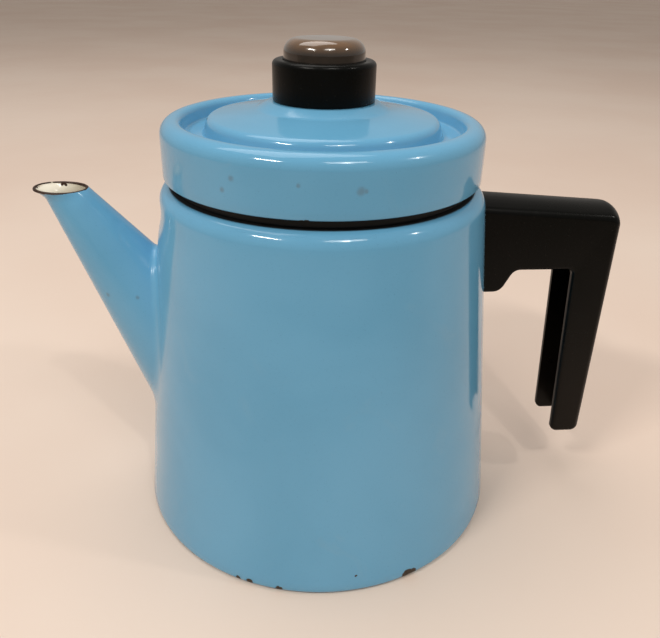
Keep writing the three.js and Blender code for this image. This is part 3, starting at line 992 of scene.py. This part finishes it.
def make_valve():
    low, high = VALVE["plate_low"], VALVE["plate_high"]
    plate = ring("bell_plate", VALVE["hole"], VALVE["plate"], low, high, "aluminium")
    fit(plate, "pump", "aluminium", "valve_plate")
    radius, low, high = VALVE["disc"], VALVE["disc_low"], VALVE["disc_high"]
    disc = rounded([(0, low), (radius, low, 0.3), (radius, high, 0.3), (0, high)], 3)
    fit(turned("loose_disc", [(disc, 0)], finishes("steel"), SMALL_ROUND), "valve", "steel", "valve_disc")


def make_basket():
    wall, half = BASKET["wall"], BASKET["wall"] / 2
    path = divided(rounded([
        (BASKET["bore"], BASKET["floor"] + half),
        (BASKET["floor_radius"], BASKET["floor"] + half, 3),
        (BASKET["mouth"], BASKET["rim"] - half, 1),
        (BASKET["rim_radius"] - half, BASKET["rim"] - half),
    ]), 4)
    cup = turned("grounds_basket", [(sum(sheet(path, wall), []), 0)], finishes("aluminium"), BASKET_ROUND)
    holes = hole_rings(BASKET["rings"], DRIP_HOLE, BASKET["holes_low"], BASKET["holes_high"])
    fit(carve(cup, [holes]), "basket", "aluminium", "coffee_basket")
    make_sleeve()
    middle = BASKET["rim"] + STACK_GAP + half
    raised = middle + COVER["raise"]
    path = divided(rounded([
        (COVER["bore"], raised), (COVER["raised_radius"], raised, 1), (COVER["dish"], middle, 1),
        (COVER["edge"], middle, 0.8), (COVER["edge"], middle + COVER["lip"] - half),
    ]), 4)
    cover = turned("basket_cover", [(sum(sheet(path, wall), []), 0)], finishes("aluminium"), BASKET_ROUND)
    holes = hole_rings(COVER["rings"], DRIP_HOLE, middle - OVERSHOOT, middle + OVERSHOOT)
    fit(carve(cover, [holes]), "spreader", "aluminium", "basket_spreader")


def make_sleeve():
    low = STEM["stop"] + STACK_GAP
    top = BASKET["rim"] + SLEEVE["above_rim"]
    bore, outer, flange = SLEEVE["bore"], SLEEVE["outer"], SLEEVE["flange"]
    flange_top = low + SLEEVE["flange_height"]
    sleeve = rounded([
        (bore, low), (flange, low, 0.2), (flange, flange_top, 0.2), (outer, flange_top), (outer, top, 0.3),
        (bore, top, 0.3),
    ])
    tube = turned("centre_sleeve", [(sleeve, 0)], finishes("aluminium"), SMALL_ROUND)
    fit(tube, "basket", "aluminium", "basket_sleeve")


# ---------------------------------------------------------------- stage
def make_camera():
    heading, down, roll = (math.radians(CAMERA[key]) for key in ("heading", "down", "roll"))
    ahead = Vector((math.sin(heading), math.cos(heading), 0))
    forward = ahead * math.cos(down) - Vector((0, 0, math.sin(down)))
    right = Vector((math.cos(heading), -math.sin(heading), 0))
    upward = right.cross(forward)
    across = right * math.cos(roll) + upward * math.sin(roll)
    above = upward * math.cos(roll) - right * math.sin(roll)
    data = bpy.data.cameras.new("camera")
    data.lens = CAMERA["lens"]
    data.sensor_width = SENSOR
    data.clip_start = 0.01
    camera = bpy.data.objects.new("camera", data)
    bpy.context.scene.collection.objects.link(camera)
    turn = Matrix((across, above, -forward)).transposed().to_4x4()
    camera.matrix_world = Matrix.Translation([metre(c) for c in CAMERA["place"]]) @ turn
    bpy.context.scene.camera = camera


def add_light(name, azimuth, elevation, distance, size, power, colour):
    """A rectangular lamp; azimuth 0 is in front of the pot, on -Y, and positive is towards the handle."""
    data = bpy.data.lights.new(name, "AREA")
    data.shape = "RECTANGLE"
    data.size, data.size_y = size
    data.energy = power
    data.color = colour
    light = bpy.data.objects.new(name, data)
    bpy.context.scene.collection.objects.link(light)
    a, e = math.radians(azimuth), math.radians(elevation)
    target = Vector([metre(c) for c in LAMP_AIM])
    away = Vector((math.sin(a) * math.cos(e), -math.cos(a) * math.cos(e), math.sin(e)))
    light.location = target + away * distance
    light.rotation_euler = away.to_track_quat("Z", "Y").to_euler()


def make_stage():
    reach = FLOOR_REACH
    corners = [(-reach, -reach, 0), (reach, -reach, 0), (reach, reach, 0), (-reach, reach, 0)]
    floor = mesh_object("floor", corners, [[0, 1, 2, 3]], [paper_floor()])
    world = bpy.data.worlds.new("studio")
    bpy.context.scene.world = world
    world.use_nodes = True
    background = world.node_tree.nodes["Background"]
    background.inputs["Color"].default_value = ROOM_LIGHT["colour"]
    background.inputs["Strength"].default_value = ROOM_LIGHT["strength"]
    for name, settings in LAMPS.items():
        add_light(name, **settings)
    bpy.context.scene.view_settings.view_transform = "Standard"


make_camera()
make_body()
make_base()
make_spout()
make_grip()
make_handle_fixings()
make_lid()
make_knob()
make_pump()
make_basket()
finish_bracket()
make_stage()
